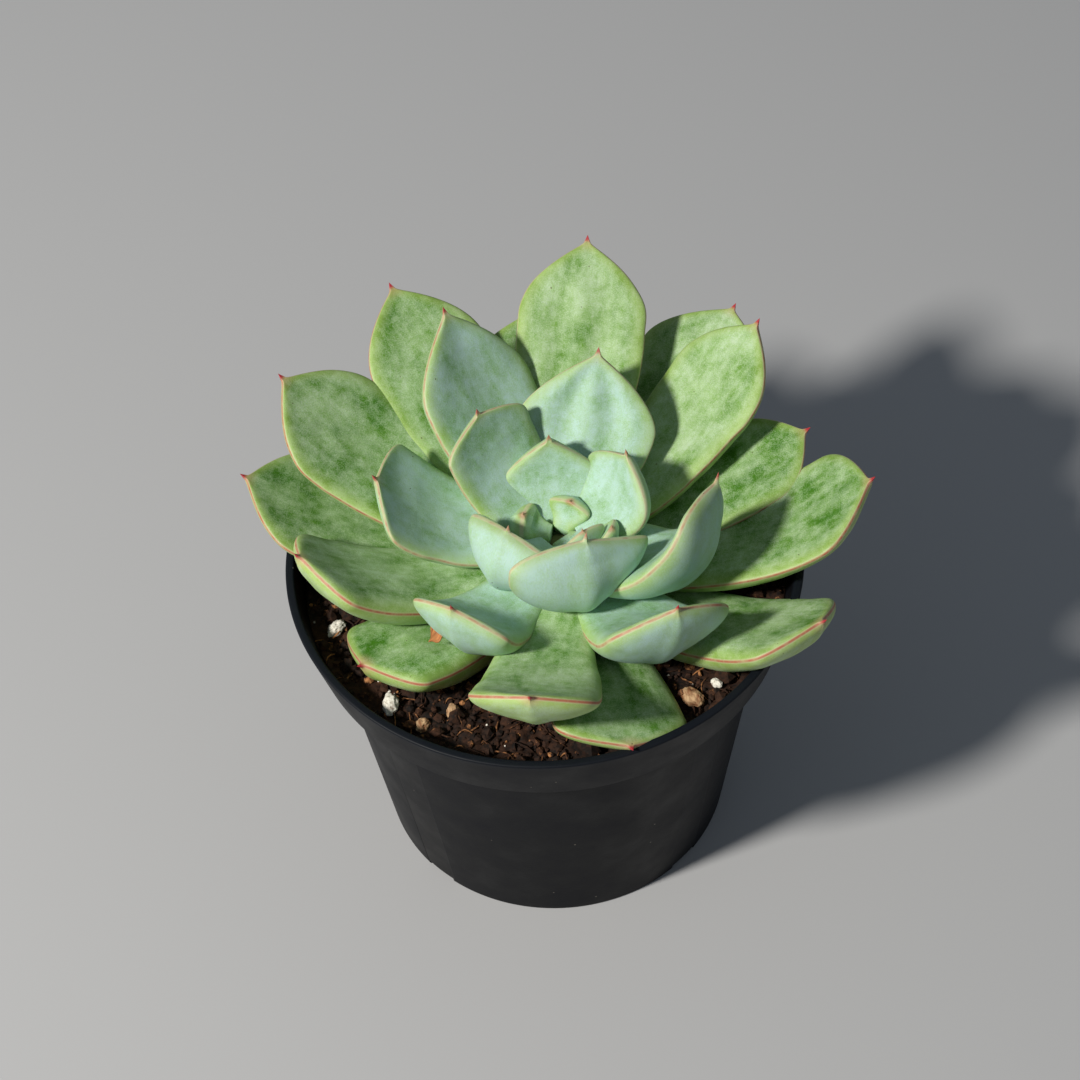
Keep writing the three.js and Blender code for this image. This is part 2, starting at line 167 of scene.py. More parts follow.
def store(piece, name, values):
    """Keeps three numbers for every point of a mesh, for its material to read."""
    attribute = piece.data.attributes.new(name, "FLOAT_VECTOR", "POINT")
    attribute.data.foreach_set("vector", np.asarray(values, np.float32).ravel())


def noise(points, cell, seed):
    """Smooth random heights from -1 to 1.

    Random values at the corners of cubes `cell` wide are joined by a cubic fade along each axis.
    """
    place = np.asarray(points, float) / cell + 101.3 * seed
    corner = np.floor(place).astype(np.int64)
    fade = place - corner
    fade = fade * fade * (3 - 2 * fade)
    total = np.zeros(place.shape[:-1])
    for step in np.ndindex(2, 2, 2):
        at = corner + np.array(step)
        mixed = (at[..., 0] * 73856093 ^ at[..., 1] * 19349663 ^ at[..., 2] * 83492791) & 0xFFFFFF
        mixed = (mixed ^ (mixed >> 11)) * 1274126177 & 0xFFFFFFFF
        mixed = (mixed ^ (mixed >> 15)) & 0xFFFF
        weight = np.prod(np.where(np.array(step) == 1, fade, 1 - fade), -1)
        total += weight * (mixed / 32767.5 - 1)
    return total


def rounded(outline, radius):
    """The outline with every inner corner replaced by a short curve that starts `radius` before it."""
    corners = np.array(outline, float)
    result = [corners[:1]]
    for before, corner, after in zip(corners[:-2], corners[1:-1], corners[2:]):
        reach = [min(radius, 0.45 * np.linalg.norm(side - corner)) for side in (before, after)]
        start = corner + (before - corner) * reach[0] / np.linalg.norm(before - corner)
        end = corner + (after - corner) * reach[1] / np.linalg.norm(after - corner)
        share = np.linspace(0, 1, 6)[:, None]
        result.append((1 - share) ** 2 * start + 2 * share * (1 - share) * corner + share ** 2 * end)
    result.append(corners[-1:])
    return np.concatenate(result)


def turned(outline, sides):
    """An outline carried round Z: every ring is a circle of the outline's radius at its height."""
    turn = 2 * np.pi * np.arange(sides) / sides
    radius, height = outline[1:-1, 0, None], outline[1:-1, 1, None]
    rings = np.stack([radius * np.cos(turn), radius * np.sin(turn), height + 0 * turn], -1)
    poles = np.array([[0, 0, outline[0, 1]], [0, 0, outline[-1, 1]]])
    return np.concatenate([rings.reshape(-1, 3), poles])


def moulded_polypropylene():
    """Black polypropylene, injection moulded: a matt skin with a faint orange-peel grain.

    Potting dust dulls it in patches and leaves pale specks, and the lip has a painted bluer sky reflection.
    """
    material, tree, surface = new_material("moulded_polypropylene")
    place = add(tree, "ShaderNodeTexCoord", {}, {}, "Object")
    height = add(tree, "ShaderNodeSeparateXYZ", {}, {0: place}, 2)
    # Painted reflection: the top of the lip is painted lighter and bluer, as the sky shows in it.
    lip = add(tree, "ShaderNodeMapRange", {}, {0: height, 1: 0.0735, 2: 0.0755}, 0)
    film = add(tree, "ShaderNodeTexNoise", {},
               {"Vector": place, "Scale": 90.0, "Detail": 5.0, "Roughness": 0.6})
    dusty = add(tree, "ShaderNodeMapRange", {}, {0: film, 1: 0.45, 2: 0.75})
    black = add(tree, "ShaderNodeMix", {"data_type": "RGBA"},
                {0: dusty, 6: linear("#06070b"), 7: linear("#101117")}, 2)
    black = add(tree, "ShaderNodeMix", {"data_type": "RGBA"}, {0: lip, 6: black, 7: linear("#10141b")}, 2)
    # Dust specks about 0.3 mm across, at most one in a cell of 3 mm.
    specks = add(tree, "ShaderNodeTexVoronoi", {}, {"Vector": place, "Scale": 330.0})
    small = add(tree, "ShaderNodeMapRange", {}, {0: specks, 1: 0.07, 2: 0.03})
    chosen = add(tree, "ShaderNodeTexNoise", {}, {"Vector": place, "Scale": 260.0, "Detail": 2.0})
    chosen = add(tree, "ShaderNodeMapRange", {}, {0: chosen, 1: 0.56, 2: 0.6})
    speck = add(tree, "ShaderNodeMath", {"operation": "MULTIPLY"}, {0: small, 1: chosen})
    colour = add(tree, "ShaderNodeMix", {"data_type": "RGBA"}, {0: speck, 6: black, 7: linear("#8d867c")}, 2)
    tree.links.new(colour, surface.inputs["Base Color"])
    matt = add(tree, "ShaderNodeMapRange", {}, {0: film, 1: 0.3, 2: 0.7, 3: 0.46, 4: 0.62})
    tree.links.new(matt, surface.inputs["Roughness"])
    surface.inputs["IOR"].default_value = 1.49
    surface.inputs["Specular IOR Level"].default_value = 0.16
    # Orange peel about 0.5 mm across.
    peel = add(tree, "ShaderNodeTexNoise", {}, {"Vector": place, "Scale": 1800.0, "Detail": 2.0})
    bump = add(tree, "ShaderNodeBump", {}, {"Strength": 0.25, "Distance": 0.00006, "Height": peel})
    tree.links.new(bump, surface.inputs["Normal"])
    return material


pot_outline = rounded([
    [0, 0],
    [BOSS_RADIUS, 0],
    [BOSS_RADIUS + 0.6, FLOOR_LIFT],
    [BASE_RADIUS - FOOT_RING_WIDTH - 0.5, FLOOR_LIFT],
    [BASE_RADIUS - FOOT_RING_WIDTH, 0],
    [BASE_RADIUS - 0.2, 0],
    [BASE_RADIUS, 0.5],
    [SHOULDER_RADIUS, COLLAR_FOOT],
    [COLLAR_FOOT_RADIUS, COLLAR_FOOT],
    [RIM_RADIUS, POT_HEIGHT - 0.3],
    [RIM_RADIUS - 0.3, POT_HEIGHT],
    [RIM_RADIUS - LIP_WIDTH + 0.3, POT_HEIGHT],
    [RIM_RADIUS - LIP_WIDTH, POT_HEIGHT - 0.5],
    [COLLAR_FOOT_RADIUS - WALL, COLLAR_FOOT + WALL],
    [SHOULDER_RADIUS - WALL, COLLAR_FOOT + WALL - 0.6],
    [BASE_RADIUS - WALL, FLOOR_LIFT + WALL],
    [BOSS_RADIUS - 0.8, FLOOR_LIFT + WALL],
    [BOSS_RADIUS - 1.4, WALL],
    [0, WALL],
], EDGE_ROUNDING)
pot_points = turned(pot_outline, POT_SIDES)
# The thin wall has eased a little out of round towards the rim.
turn = np.arctan2(pot_points[:, 1], pot_points[:, 0])
ease = OUT_OF_ROUND * np.clip(pot_points[:, 2] / POT_HEIGHT, 0, 1) ** 2 * np.sin(2 * turn + 0.7)
pot_points[:, :2] *= 1 + np.minimum(ease, 0)[:, None]
polypropylene = moulded_polypropylene()
pot_quads, pot_fans = grid_faces(len(pot_outline) - 2, POT_SIDES)
pot = mesh_piece("nursery_pot", pot_points, pot_quads, pot_fans, polypropylene, ["pot"])

cutter_mesh = bmesh.new()
for i in range(DRAIN_HOLES):
    angle = 2 * np.pi * (i + 0.5) / DRAIN_HOLES
    middle = Vector((DRAIN_CIRCLE * np.cos(angle), DRAIN_CIRCLE * np.sin(angle), FLOOR_LIFT)) * MM
    bmesh.ops.create_cone(cutter_mesh, cap_ends=True, segments=40, radius1=DRAIN_RADIUS * MM,
                          radius2=DRAIN_RADIUS * MM, depth=4 * FLOOR_LIFT * MM,
                          matrix=Matrix.Translation(middle))
for i in range(FOOT_NOTCHES):
    angle = 2 * np.pi * (i + 0.5) / FOOT_NOTCHES
    middle = Vector(((BASE_RADIUS - 0.5 * FOOT_RING_WIDTH) * MM, 0, 0))
    size = Matrix.Diagonal((3 * FOOT_RING_WIDTH * MM, NOTCH_WIDTH * MM, 2 * (FLOOR_LIFT - 1) * MM, 1))
    bmesh.ops.create_cube(cutter_mesh, size=1,
                          matrix=Matrix.Rotation(angle, 4, "Z") @ Matrix.Translation(middle) @ size)
cutter_data = bpy.data.meshes.new("pot_cutters")
cutter_mesh.to_mesh(cutter_data)
cutter_mesh.free()
cutter = bpy.data.objects.new("pot_cutters", cutter_data)
bpy.context.scene.collection.objects.link(cutter)
cut = pot.modifiers.new("drains_and_notches", "BOOLEAN")
cut.object = cutter
cut.solver = "EXACT"
bpy.context.view_layer.update()
cut_mesh = bpy.data.meshes.new_from_object(pot.evaluated_get(bpy.context.evaluated_depsgraph_get()))
pot.modifiers.clear()
pot.data = cut_mesh
bpy.data.objects.remove(cutter)


# ---------------------------------------------------------------------------------------------------------
# Mix: damp peat and coir, tipped in loose and watered down to about 8 mm under the rim. Its top is lumpy,
# and strewn with crumbs, coir fibres, white perlite and bits of bark.
SOIL_LEVEL = 68
SOIL_EDGE = 48.9
SOIL_RINGS = 150
SOIL_SECTORS = 420
CLEAR_OF_POT = 0.3
CRUMBS = 3600
CRUMBS_FROM_RADIUS = 18
FIBRES = 650
FIBRES_FROM_RADIUS = 24
WHITE_BITS = 90
WHITE_BITS_FROM_RADIUS = 26
random = np.random.default_rng(11)


def soil_height(x, y):
    """Height of the mix over the ground: two waves, as in the solid under it, and four sizes of lumps."""
    broad = 0.6 * np.sin(0.16 * x + 1.3) * np.cos(0.19 * y - 0.4)
    fine = 0.4 * np.sin(0.53 * x - 0.31 * y) * np.cos(0.47 * y + 0.22 * x + 0.8)
    flat = np.stack([x, y, 0 * x], -1)
    lumps = 0.75 * noise(flat, 7, 1) + 0.55 * noise(flat, 3.1, 2)
    grit = 0.34 * noise(flat, 1.3, 3) + 0.16 * noise(flat, 0.6, 4)
    return SOIL_LEVEL + 0.9 * (broad + fine) + lumps + grit


def damp_peat():
    """Peat and coir: brown-black crumbs with redder fibre, quite dark because it is damp.

    Its tint, 0 to 1, runs from wet black to dry fibre.
    """
    material, tree, surface = new_material("damp_peat")
    place = add(tree, "ShaderNodeTexCoord", {}, {}, "Object")
    tint = add(tree, "ShaderNodeAttribute", {"attribute_name": "tint"}, {}, "Vector")
    dryness = add(tree, "ShaderNodeSeparateXYZ", {}, {0: tint}, 0)
    # Crumbs about 1 mm across.
    clods = add(tree, "ShaderNodeTexNoise", {},
                {"Vector": place, "Scale": 900.0, "Detail": 6.0, "Roughness": 0.65})
    spread = add(tree, "ShaderNodeMapRange", {}, {0: clods, 1: 0.3, 2: 0.72, 3: -0.3, 4: 0.45})
    shade = add(tree, "ShaderNodeMath", {"operation": "ADD", "use_clamp": True}, {0: dryness, 1: spread})
    dark = add(tree, "ShaderNodeMix", {"data_type": "RGBA"},
               {0: shade, 6: linear("#130c09"), 7: linear("#4f301e")}, 2)
    dry = add(tree, "ShaderNodeMapRange", {}, {0: shade, 1: 0.62, 2: 1.0})
    colour = add(tree, "ShaderNodeMix", {"data_type": "RGBA"}, {0: dry, 6: dark, 7: linear("#a9754a")}, 2)
    tree.links.new(colour, surface.inputs["Base Color"])
    surface.inputs["Roughness"].default_value = 0.85
    surface.inputs["Specular IOR Level"].default_value = 0.3
    bump = add(tree, "ShaderNodeBump", {}, {"Strength": 0.6, "Distance": 0.0004, "Height": clods})
    tree.links.new(bump, surface.inputs["Normal"])
    return material


def expanded_perlite():
    """Perlite: volcanic glass puffed white, chalky and pitted, with a little peat stuck in the pits."""
    material, tree, surface = new_material("expanded_perlite")
    place = add(tree, "ShaderNodeTexCoord", {}, {}, "Object")
    pits = add(tree, "ShaderNodeTexNoise", {}, {"Vector": place, "Scale": 1500.0, "Detail": 4.0})
    dirt = add(tree, "ShaderNodeMapRange", {}, {0: pits, 1: 0.5, 2: 0.72})
    colour = add(tree, "ShaderNodeMix", {"data_type": "RGBA"},
                 {0: dirt, 6: linear("#e9e5db"), 7: linear("#97887a")}, 2)
    tree.links.new(colour, surface.inputs["Base Color"])
    surface.inputs["Roughness"].default_value = 0.9
    bump = add(tree, "ShaderNodeBump", {}, {"Strength": 0.5, "Distance": 0.0003, "Height": pits})
    tree.links.new(bump, surface.inputs["Normal"])
    return material


def dry_bark():
    """Composted bark: tan to red-brown, fibrous along one way and crumbling."""
    material, tree, surface = new_material("dry_bark")
    place = add(tree, "ShaderNodeTexCoord", {}, {}, "Object")
    along = add(tree, "ShaderNodeMapping", {}, {0: place, 3: (1.0, 0.3, 1.0)})
    grain = add(tree, "ShaderNodeTexNoise", {}, {"Vector": along, "Scale": 1400.0, "Detail": 5.0})
    bands = add(tree, "ShaderNodeMapRange", {}, {0: grain, 1: 0.35, 2: 0.68})
    colour = add(tree, "ShaderNodeMix", {"data_type": "RGBA"},
                 {0: bands, 6: linear("#7c4f30"), 7: linear("#c9a881")}, 2)
    tree.links.new(colour, surface.inputs["Base Color"])
    surface.inputs["Roughness"].default_value = 0.85
    bump = add(tree, "ShaderNodeBump", {}, {"Strength": 0.6, "Distance": 0.0004, "Height": grain})
    tree.links.new(bump, surface.inputs["Normal"])
    return material


def scattered(shape_points, shape_faces, middles, sizes, turns, seed):
    """Many copies of one small shape: each is dented, drawn out, turned about two axes and set down."""
    count = len(middles)
    apart = 3.7 * np.arange(count)[:, None, None]
    dents = 0.3 * noise(shape_points[None] * 1.1 + apart, 1, seed)
    points = shape_points[None] * (1 + dents)[..., None]
    points = points * sizes[:, None, :]
    lean, turn = turns[:, :1], turns[:, 1:]
    x, y, z = points[..., 0], points[..., 1], points[..., 2]
    y, z = y * np.cos(lean) - z * np.sin(lean), y * np.sin(lean) + z * np.cos(lean)
    x, y = x * np.cos(turn) - y * np.sin(turn), x * np.sin(turn) + y * np.cos(turn)
    points = np.stack([x, y, z], -1) + middles[:, None]
    faces = shape_faces[None] + (len(shape_points) * np.arange(count))[:, None, None]
    return points.reshape(-1, 3), faces.reshape(-1, 3)


def ball(divisions):
    """A ball of radius 1 made of equal triangles."""
    shape = bmesh.new()
    bmesh.ops.create_icosphere(shape, subdivisions=divisions, radius=1)
    points = np.array([vertex.co for vertex in shape.verts])
    faces = np.array([[vertex.index for vertex in face.verts] for face in shape.faces])
    shape.free()
    return points, faces


def tubes(starts, headings, lengths, widths, bends, rises, segments=7, sides=5):
    """Thin fibres lying on the mix.

    Each centreline starts at a point and turns evenly by its bend, following the surface and lifting in an
    arch by its rise. A round section is carried along it and tapers to both ends.
    """
    share = np.linspace(0, 1, segments)[None]
    heading = headings[:, None] + bends[:, None] * share
    step = lengths[:, None] / segments
    x = starts[:, :1] + np.cumsum(step * np.cos(heading), 1)
    y = starts[:, 1:2] + np.cumsum(step * np.sin(heading), 1)
    z = soil_height(x, y) + 0.25 + rises[:, None] * np.sin(np.pi * share)
    centre = np.stack([x, y, z], -1)
    ahead = np.gradient(centre, axis=1)
    ahead /= np.linalg.norm(ahead, axis=-1, keepdims=True)
    side = np.cross(ahead, [0, 0, 1.0])
    side /= np.linalg.norm(side, axis=-1, keepdims=True)
    upper = np.cross(side, ahead)
    radius = widths[:, None] / 2 * (0.35 + 0.65 * np.sin(np.pi * np.clip(share, 0.02, 0.98)) ** 0.5)
    turn = (2 * np.pi * np.arange(sides) / sides)[None, None, :, None]
    ring = np.cos(turn) * side[:, :, None] + np.sin(turn) * upper[:, :, None]
    rings = (centre[:, :, None] + radius[..., None, None] * ring).reshape(len(starts), -1, 3)
    points = np.concatenate([rings, centre[:, :1], centre[:, -1:]], 1)
    quads, fans = grid_faces(segments, sides)
    offset = (points.shape[1] * np.arange(len(starts)))[:, None, None]
    return points.reshape(-1, 3), (quads[None] + offset).reshape(-1, 4), (fans[None] + offset).reshape(-1, 3)


def on_the_mix(count, nearest):
    """Random places on the open ring of mix, evenly spread over its area between a radius and the wall."""
    radius = np.sqrt(random.uniform(nearest ** 2, (SOIL_EDGE - 0.8) ** 2, count))
    angle = random.uniform(0, 2 * np.pi, count)
    return np.stack([radius * np.cos(angle), radius * np.sin(angle)], -1)


peat = damp_peat()
perlite = expanded_perlite()
bark = dry_bark()
wall_outline = np.array([
    [0, WALL + CLEAR_OF_POT],
    [BOSS_RADIUS - 1.7, WALL + CLEAR_OF_POT],
    [BOSS_RADIUS - 1.1, FLOOR_LIFT + WALL + CLEAR_OF_POT],
    [BASE_RADIUS - WALL - 0.4, FLOOR_LIFT + WALL + CLEAR_OF_POT],
    [SHOULDER_RADIUS - WALL - 0.4, COLLAR_FOOT + WALL - 0.6],
    [COLLAR_FOOT_RADIUS - WALL - 0.6, COLLAR_FOOT + WALL + CLEAR_OF_POT],
])
top_radii = np.linspace(SOIL_EDGE, SOIL_EDGE / SOIL_RINGS, SOIL_RINGS)
top_outline = np.stack([top_radii, np.full(SOIL_RINGS, SOIL_LEVEL)], -1)
soil_outline = np.concatenate([wall_outline, top_outline, [[0, SOIL_LEVEL]]])
soil_points = turned(soil_outline, SOIL_SECTORS)
top = soil_points[:, 2] > SOIL_LEVEL - 0.01
soil_points[top, 2] = soil_height(soil_points[top, 0], soil_points[top, 1])
soil_quads, soil_fans = grid_faces(len(soil_outline) - 2, SOIL_SECTORS)
soil = mesh_piece("peat_mix", soil_points, soil_quads, soil_fans, peat, ["soil"])
dry_patch = 0.12 + 0.3 * noise(soil_points, 11, 7) + 0.12 * (soil_points[:, 2] - SOIL_LEVEL)
store(soil, "tint", np.stack([dry_patch, dry_patch, dry_patch], -1))

crumb_points, crumb_faces = ball(1)
places = on_the_mix(CRUMBS, CRUMBS_FROM_RADIUS)
sizes = random.gamma(1.5, 0.27, CRUMBS)[:, None] * random.uniform(0.6, 1.4, (CRUMBS, 3)) + 0.14
heights = soil_height(places[:, 0], places[:, 1]) + 0.3 * sizes[:, 2]
points, faces = scattered(crumb_points, crumb_faces, np.column_stack([places, heights]), sizes,
                          random.uniform(0, 2 * np.pi, (CRUMBS, 2)), 5)
crumbs = mesh_piece("peat_crumbs", points, np.zeros((0, 4)), faces, peat, smooth=False)
tint = np.repeat(random.beta(1.1, 2.8, CRUMBS), len(crumb_points))
store(crumbs, "tint", np.stack([tint, tint, tint], -1))

places = on_the_mix(FIBRES, FIBRES_FROM_RADIUS)
lengths = random.gamma(2.6, 1.3, FIBRES) + 1.2
points, quads, fans = tubes(places, random.uniform(0, 2 * np.pi, FIBRES), lengths,
                            random.uniform(0.18, 0.5, FIBRES), random.normal(0, 1.3, FIBRES),
                            random.exponential(0.45, FIBRES))
inside = np.hypot(points[:, 0], points[:, 1])
points[:, :2] *= np.minimum(1, (SOIL_EDGE + 0.1) / inside)[:, None]
fibres = mesh_piece("coir_fibres", points, quads, fans, peat)
tint = np.repeat(random.beta(2.4, 2.2, FIBRES), len(points) // FIBRES)
store(fibres, "tint", np.stack([tint, tint, tint], -1))

white_points, white_faces = ball(2)
places = on_the_mix(WHITE_BITS, WHITE_BITS_FROM_RADIUS)
sizes = random.gamma(2, 0.1, WHITE_BITS)[:, None] * random.uniform(0.7, 1.3, (WHITE_BITS, 3)) + 0.12
heights = soil_height(places[:, 0], places[:, 1]) + 0.5 * sizes[:, 2]
points, faces = scattered(white_points, white_faces, np.column_stack([places, heights]), sizes,
                          random.uniform(0, 2 * np.pi, (WHITE_BITS, 2)), 6)
mesh_piece("perlite_dust", points, np.zeros((0, 4)), faces, perlite)


def rough_stone(name, angle, distance, half_sizes, seed, material, node):
    """A grain: a ball drawn out on three axes, with three sizes of dents, pressed a little into the mix."""
    points, faces = ball(5)
    dents = 1 + 0.2 * noise(points, 0.9, seed) + 0.14 * noise(points, 0.42, seed + 1)
    dents = dents + 0.07 * noise(points, 0.2, seed + 2)
    points = points * dents[:, None] * np.array(half_sizes)
    turn = np.radians(47 * seed)
    spin = np.array([[np.cos(turn), -np.sin(turn), 0], [np.sin(turn), np.cos(turn), 0], [0, 0, 1]])
    x, y = distance * np.cos(np.radians(angle)), distance * np.sin(np.radians(angle))
    middle = np.array([x, y, soil_height(np.array(x), np.array(y)) + 0.6 * half_sizes[2]])
    mesh_piece(name, points @ spin.T + middle, np.zeros((0, 4)), faces, material, [node])


rough_stone("perlite_grain_1", 194, 44, (2.3, 1.4, 1.2), 1, perlite, "perlite_1")
rough_stone("perlite_grain_2", 224, 44.5, (2.3, 1.5, 1.4), 2, perlite, "perlite_2")
rough_stone("perlite_grain_3", 317, 44.5, (1.2, 0.9, 0.8), 3, perlite, "perlite_3")
rough_stone("bark_crumb_1", 234, 44, (1.7, 1.4, 1.2), 1, bark, "bark_chip_1")
rough_stone("bark_crumb_2", 239, 38.4, (1.6, 1.2, 1.2), 2, bark, "bark_chip_2")
rough_stone("bark_crumb_3", 310, 43, (2.4, 1.8, 1.5), 3, bark, "bark_chip_3")


# ---------------------------------------------------------------------------------------------------------
# Stem: the short fleshy stalk that carries the leaves. It grows up out of the mix, and is ringed with the
# scars of leaves that have dropped.
STEM_X = 3
STEM_Y = 0
STEM_RADIUS = 3.4
STEM_FOOT = SOIL_LEVEL - 9
STEM_TOP = SOIL_LEVEL + 11
STEM_SIDES = 48
STEM_ROUNDING = 4
SCAR_SPACING = 1.5


def stem_skin():
    """Corky young stem skin: dull olive mottled with brown. The scars every 1.5 mm or so are ridges in the
    stem's shape.
    """
    material, tree, surface = new_material("stem_skin")
    place = add(tree, "ShaderNodeTexCoord", {}, {}, "Object")
    bark_noise = add(tree, "ShaderNodeTexNoise", {}, {"Vector": place, "Scale": 650.0, "Detail": 4.0})
    colour = add(tree, "ShaderNodeMix", {"data_type": "RGBA"},
                 {0: bark_noise, 6: linear("#6a7040"), 7: linear("#a49a72")}, 2)
    tree.links.new(colour, surface.inputs["Base Color"])
    surface.inputs["Roughness"].default_value = 0.7
    bump = add(tree, "ShaderNodeBump", {}, {"Strength": 0.5, "Distance": 0.0003, "Height": bark_noise})
    tree.links.new(bump, surface.inputs["Normal"])
    return material


stem_heights = np.linspace(STEM_FOOT, STEM_TOP, 60)
taper = 1 - 0.4 * np.clip((stem_heights - STEM_TOP + STEM_ROUNDING) / STEM_ROUNDING, 0, 1) ** 2
scars = 1 + 0.05 * np.sin(2 * np.pi * stem_heights / SCAR_SPACING)
swelling = np.clip((stem_heights - STEM_FOOT) / 3 + 0.8, 0, 1)
stem_outline = np.stack([STEM_RADIUS * taper * scars * swelling, stem_heights], -1)
stem_outline = np.concatenate([[[0, STEM_FOOT]], stem_outline, [[0, STEM_TOP]]])
stem_points = turned(stem_outline, STEM_SIDES) + np.array([STEM_X, STEM_Y, 0])
stem_quads, stem_fans = grid_faces(len(stem_outline) - 2, STEM_SIDES)
mesh_piece("rosette_stem", stem_points, stem_quads, stem_fans, stem_skin(), ["stem"])


# ---------------------------------------------------------------------------------------------------------
# Leaves: fleshy blades in a spiral, from the oldest on the mix to the heart. The upper face is a shallow
# trough, or bulges on a swollen leaf, and the underside is a deep rounded keel. They meet in a rounded brow,
# and the tip ends in a small red spine.
LEAF_FOOT = 2.5
LEAF_STEP = 0.6
HIGHEST_FOOT = 13
SPINE_LENGTH = 1.4
SPINE_RADIUS = 0.6
LEAF_SIDES = 112
LEAF_RINGS = 120
OUTER_LEAVES = 14
FOLD_DEPTH = 0.55
LEAF_APART = 20.0
ORDINARY = dict(roll=0, sweep=0, cup=0.08, brow=1.5, blunt=2.2, neck=0.5, widest=0.78, root=4,
                spine=SPINE_LENGTH, fold=0)
SWOLLEN = dict(cup=0, brow=3)
LEAVES = [
    dict(azimuth=283, reach=52, rise=9, width=27, thick=9, bow=0.05, roll=-15, widest=0.84, **SWOLLEN,
         bloom=0.36, green=0.8, blush=0.9),
    dict(azimuth=93, reach=59, rise=18, width=27, thick=8, bow=0.06,
         bloom=0.3, green=0.8, blush=0.5),
    dict(azimuth=213, reach=49, rise=9, width=26, thick=12, bow=0.08, roll=16, widest=0.84, **SWOLLEN,
         bloom=0.28, green=0.85, blush=1),
    dict(azimuth=22, reach=57, rise=17, width=22, thick=6, bow=0.06,
         bloom=0.3, green=0.8, blush=0.6),
    dict(azimuth=53, reach=67, rise=21, width=30, thick=8, bow=0.08, roll=-8,
         bloom=0.5, green=0.6, blush=0.6),
    dict(azimuth=329, reach=59, rise=20, width=25, thick=10, bow=0.18, roll=-18, widest=0.85, **SWOLLEN,
         bloom=0.42, green=0.7, blush=0.9),
    dict(azimuth=165, reach=66, rise=18, width=29, thick=7, bow=0.12, roll=8,
         bloom=0.36, green=0.8, blush=0.8),
    dict(azimuth=119, reach=66, rise=29, width=27, thick=8, bow=0.08, widest=0.72,
         bloom=0.42, green=0.65, blush=0.8),
    dict(azimuth=81, reach=64, rise=34, width=27, thick=8, bow=0.08, widest=0.74,
         bloom=0.44, green=0.55, blush=0.6, fold=0.5),
    dict(azimuth=359, reach=63, rise=27, width=28, thick=8, bow=0.16, roll=-8, widest=0.82,
         bloom=0.36, green=0.7, blush=0.8),
    dict(azimuth=149, reach=64, rise=30, width=28, thick=8, bow=0.12, widest=0.75,
         bloom=0.42, green=0.7, blush=0.8),
    dict(azimuth=192, reach=53, rise=26, width=25, thick=10, bow=0.18, roll=17, widest=0.84, **SWOLLEN,
         bloom=0.48, green=0.65, blush=0.9),
    dict(azimuth=42, reach=59, rise=31, width=25, thick=8, bow=0.12, roll=-12, widest=0.75,
         bloom=0.5, green=0.5, blush=0.6),
    dict(azimuth=262, reach=53, rise=31, width=25, thick=9, bow=0.2, widest=0.84, blunt=2.6, **SWOLLEN,
         bloom=0.5, green=0.6, blush=1),
    dict(azimuth=304, reach=39, rise=30, width=26, thick=9, bow=0.28, roll=-15, widest=0.82, **SWOLLEN,
         bloom=0.62, green=0.45, blush=0.7),
    dict(azimuth=232, reach=35, rise=28, width=22, thick=8, bow=0.28, roll=5, widest=0.84, **SWOLLEN,
         bloom=0.68, green=0.4, blush=0.5),
    dict(azimuth=116, reach=47, rise=37, width=28, thick=8, bow=0.12, roll=20, widest=0.64, blunt=1.9,
         bloom=0.6, green=0.45, blush=0.5),
    dict(azimuth=169, reach=37, rise=27, width=28, thick=6, bow=0.18, roll=10, widest=0.84, blunt=2.6,
         bloom=0.7, green=0.35, blush=0.4),
    dict(azimuth=72, reach=34, rise=33, width=28, thick=7, bow=0.15, roll=6, widest=0.6, blunt=1.8,
         bloom=0.66, green=0.4, blush=0.35, fold=1),
    dict(azimuth=357, reach=32, rise=32, width=24, thick=8, bow=0.18, roll=-35, sweep=-0.28, neck=0.8,
         bloom=0.68, green=0.4, blush=0.4),
    dict(azimuth=130, reach=23, rise=33, width=22, thick=6, bow=0.16, roll=4, blunt=2.6, neck=0.8,
         bloom=0.62, green=0.4, blush=0.3),
    dict(azimuth=291, reach=15, rise=31, width=30, thick=9, bow=0.26, sweep=-0.1,
         bloom=0.78, green=0.3, blush=0.15),
    dict(azimuth=222, reach=13, rise=28, width=21, thick=9, bow=0.22, roll=6,
         bloom=0.8, green=0.25, blush=0.1),
    dict(azimuth=27, reach=16, rise=30, width=21, thick=6, bow=0.18, sweep=-0.06, widest=0.6,
         bloom=0.74, green=0.35, blush=0.15),
    dict(azimuth=93, reach=14, rise=28, width=21, thick=6, bow=0.18, widest=0.45, blunt=1.6, neck=0.7,
         bloom=0.7, green=0.4, blush=0.15),
    # The four smallest leaves at the heart get less bloom and deeper green: partly their own tone, partly
    # painted shade of the deep heart.
    dict(azimuth=333, reach=12, rise=22, width=8, thick=4, bow=0.2, root=2, spine=0.6,
         bloom=0.6, green=0.4, blush=0.05),
    dict(azimuth=306, reach=8, rise=23, width=11, thick=4, bow=0.25, root=1.5, spine=0.6,
         bloom=0.6, green=0.4, blush=0.05),
    dict(azimuth=165, reach=7, rise=19, width=9, thick=6, bow=0.25, root=1.5, spine=0.6,
         bloom=0.5, green=0.5, blush=0.05),
    dict(azimuth=58, reach=5, rise=19, width=9, thick=5, bow=0.25, root=1.5, spine=0.6,
         bloom=0.5, green=0.5, blush=0.05),
]


def smooth(value):
    """0 below 0, 1 above 1 and an S-curve between."""
    share = np.clip(value, 0, 1)
    return share * share * (3 - 2 * share)


